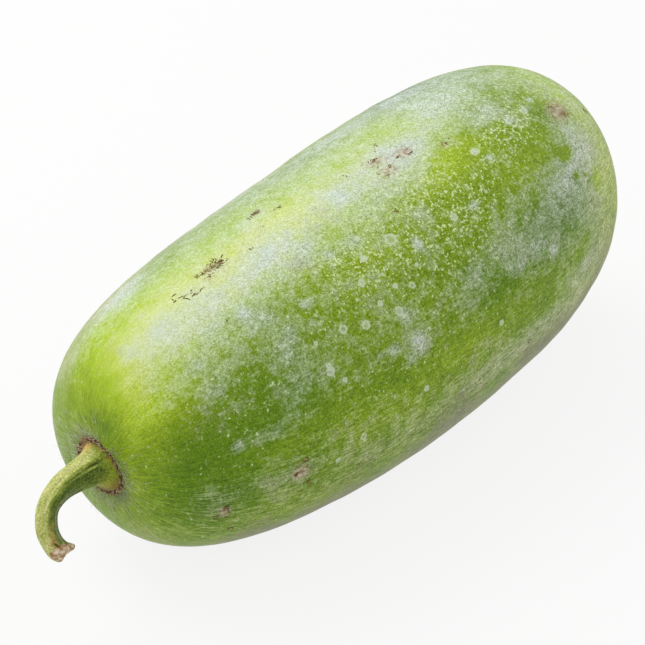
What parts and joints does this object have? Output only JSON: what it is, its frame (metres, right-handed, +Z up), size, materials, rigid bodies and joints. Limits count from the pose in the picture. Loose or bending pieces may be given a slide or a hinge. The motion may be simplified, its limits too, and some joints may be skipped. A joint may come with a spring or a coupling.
{
  "type": "winter melon",
  "caption": "Long winter melon lying on its side, with a waxy mottled green rind, a short curved ridged stem and a corky blossom scar.",
  "frame": {"origin": "middle of the bounding box in X and Y, on the surface that the melon lies on", "axes": "+X along the melon from the stem to the blossom end, +Z up, so the stem is at -X and the flat underside faces -Z"},
  "size_m": [0.3734, 0.152, 0.1498],
  "materials": {
    "rind": "satin rind, mottled green under a powdery wax bloom",
    "stalk": "matt ridged stalk, green turning to straw, dried and corky at the cut",
    "cork": "dry matt cork"
  },
  "bodies": {
    "root": {"melon": "rind", "stem": "stalk", "blossom_scar": "cork"}
  },
  "joints": []
}
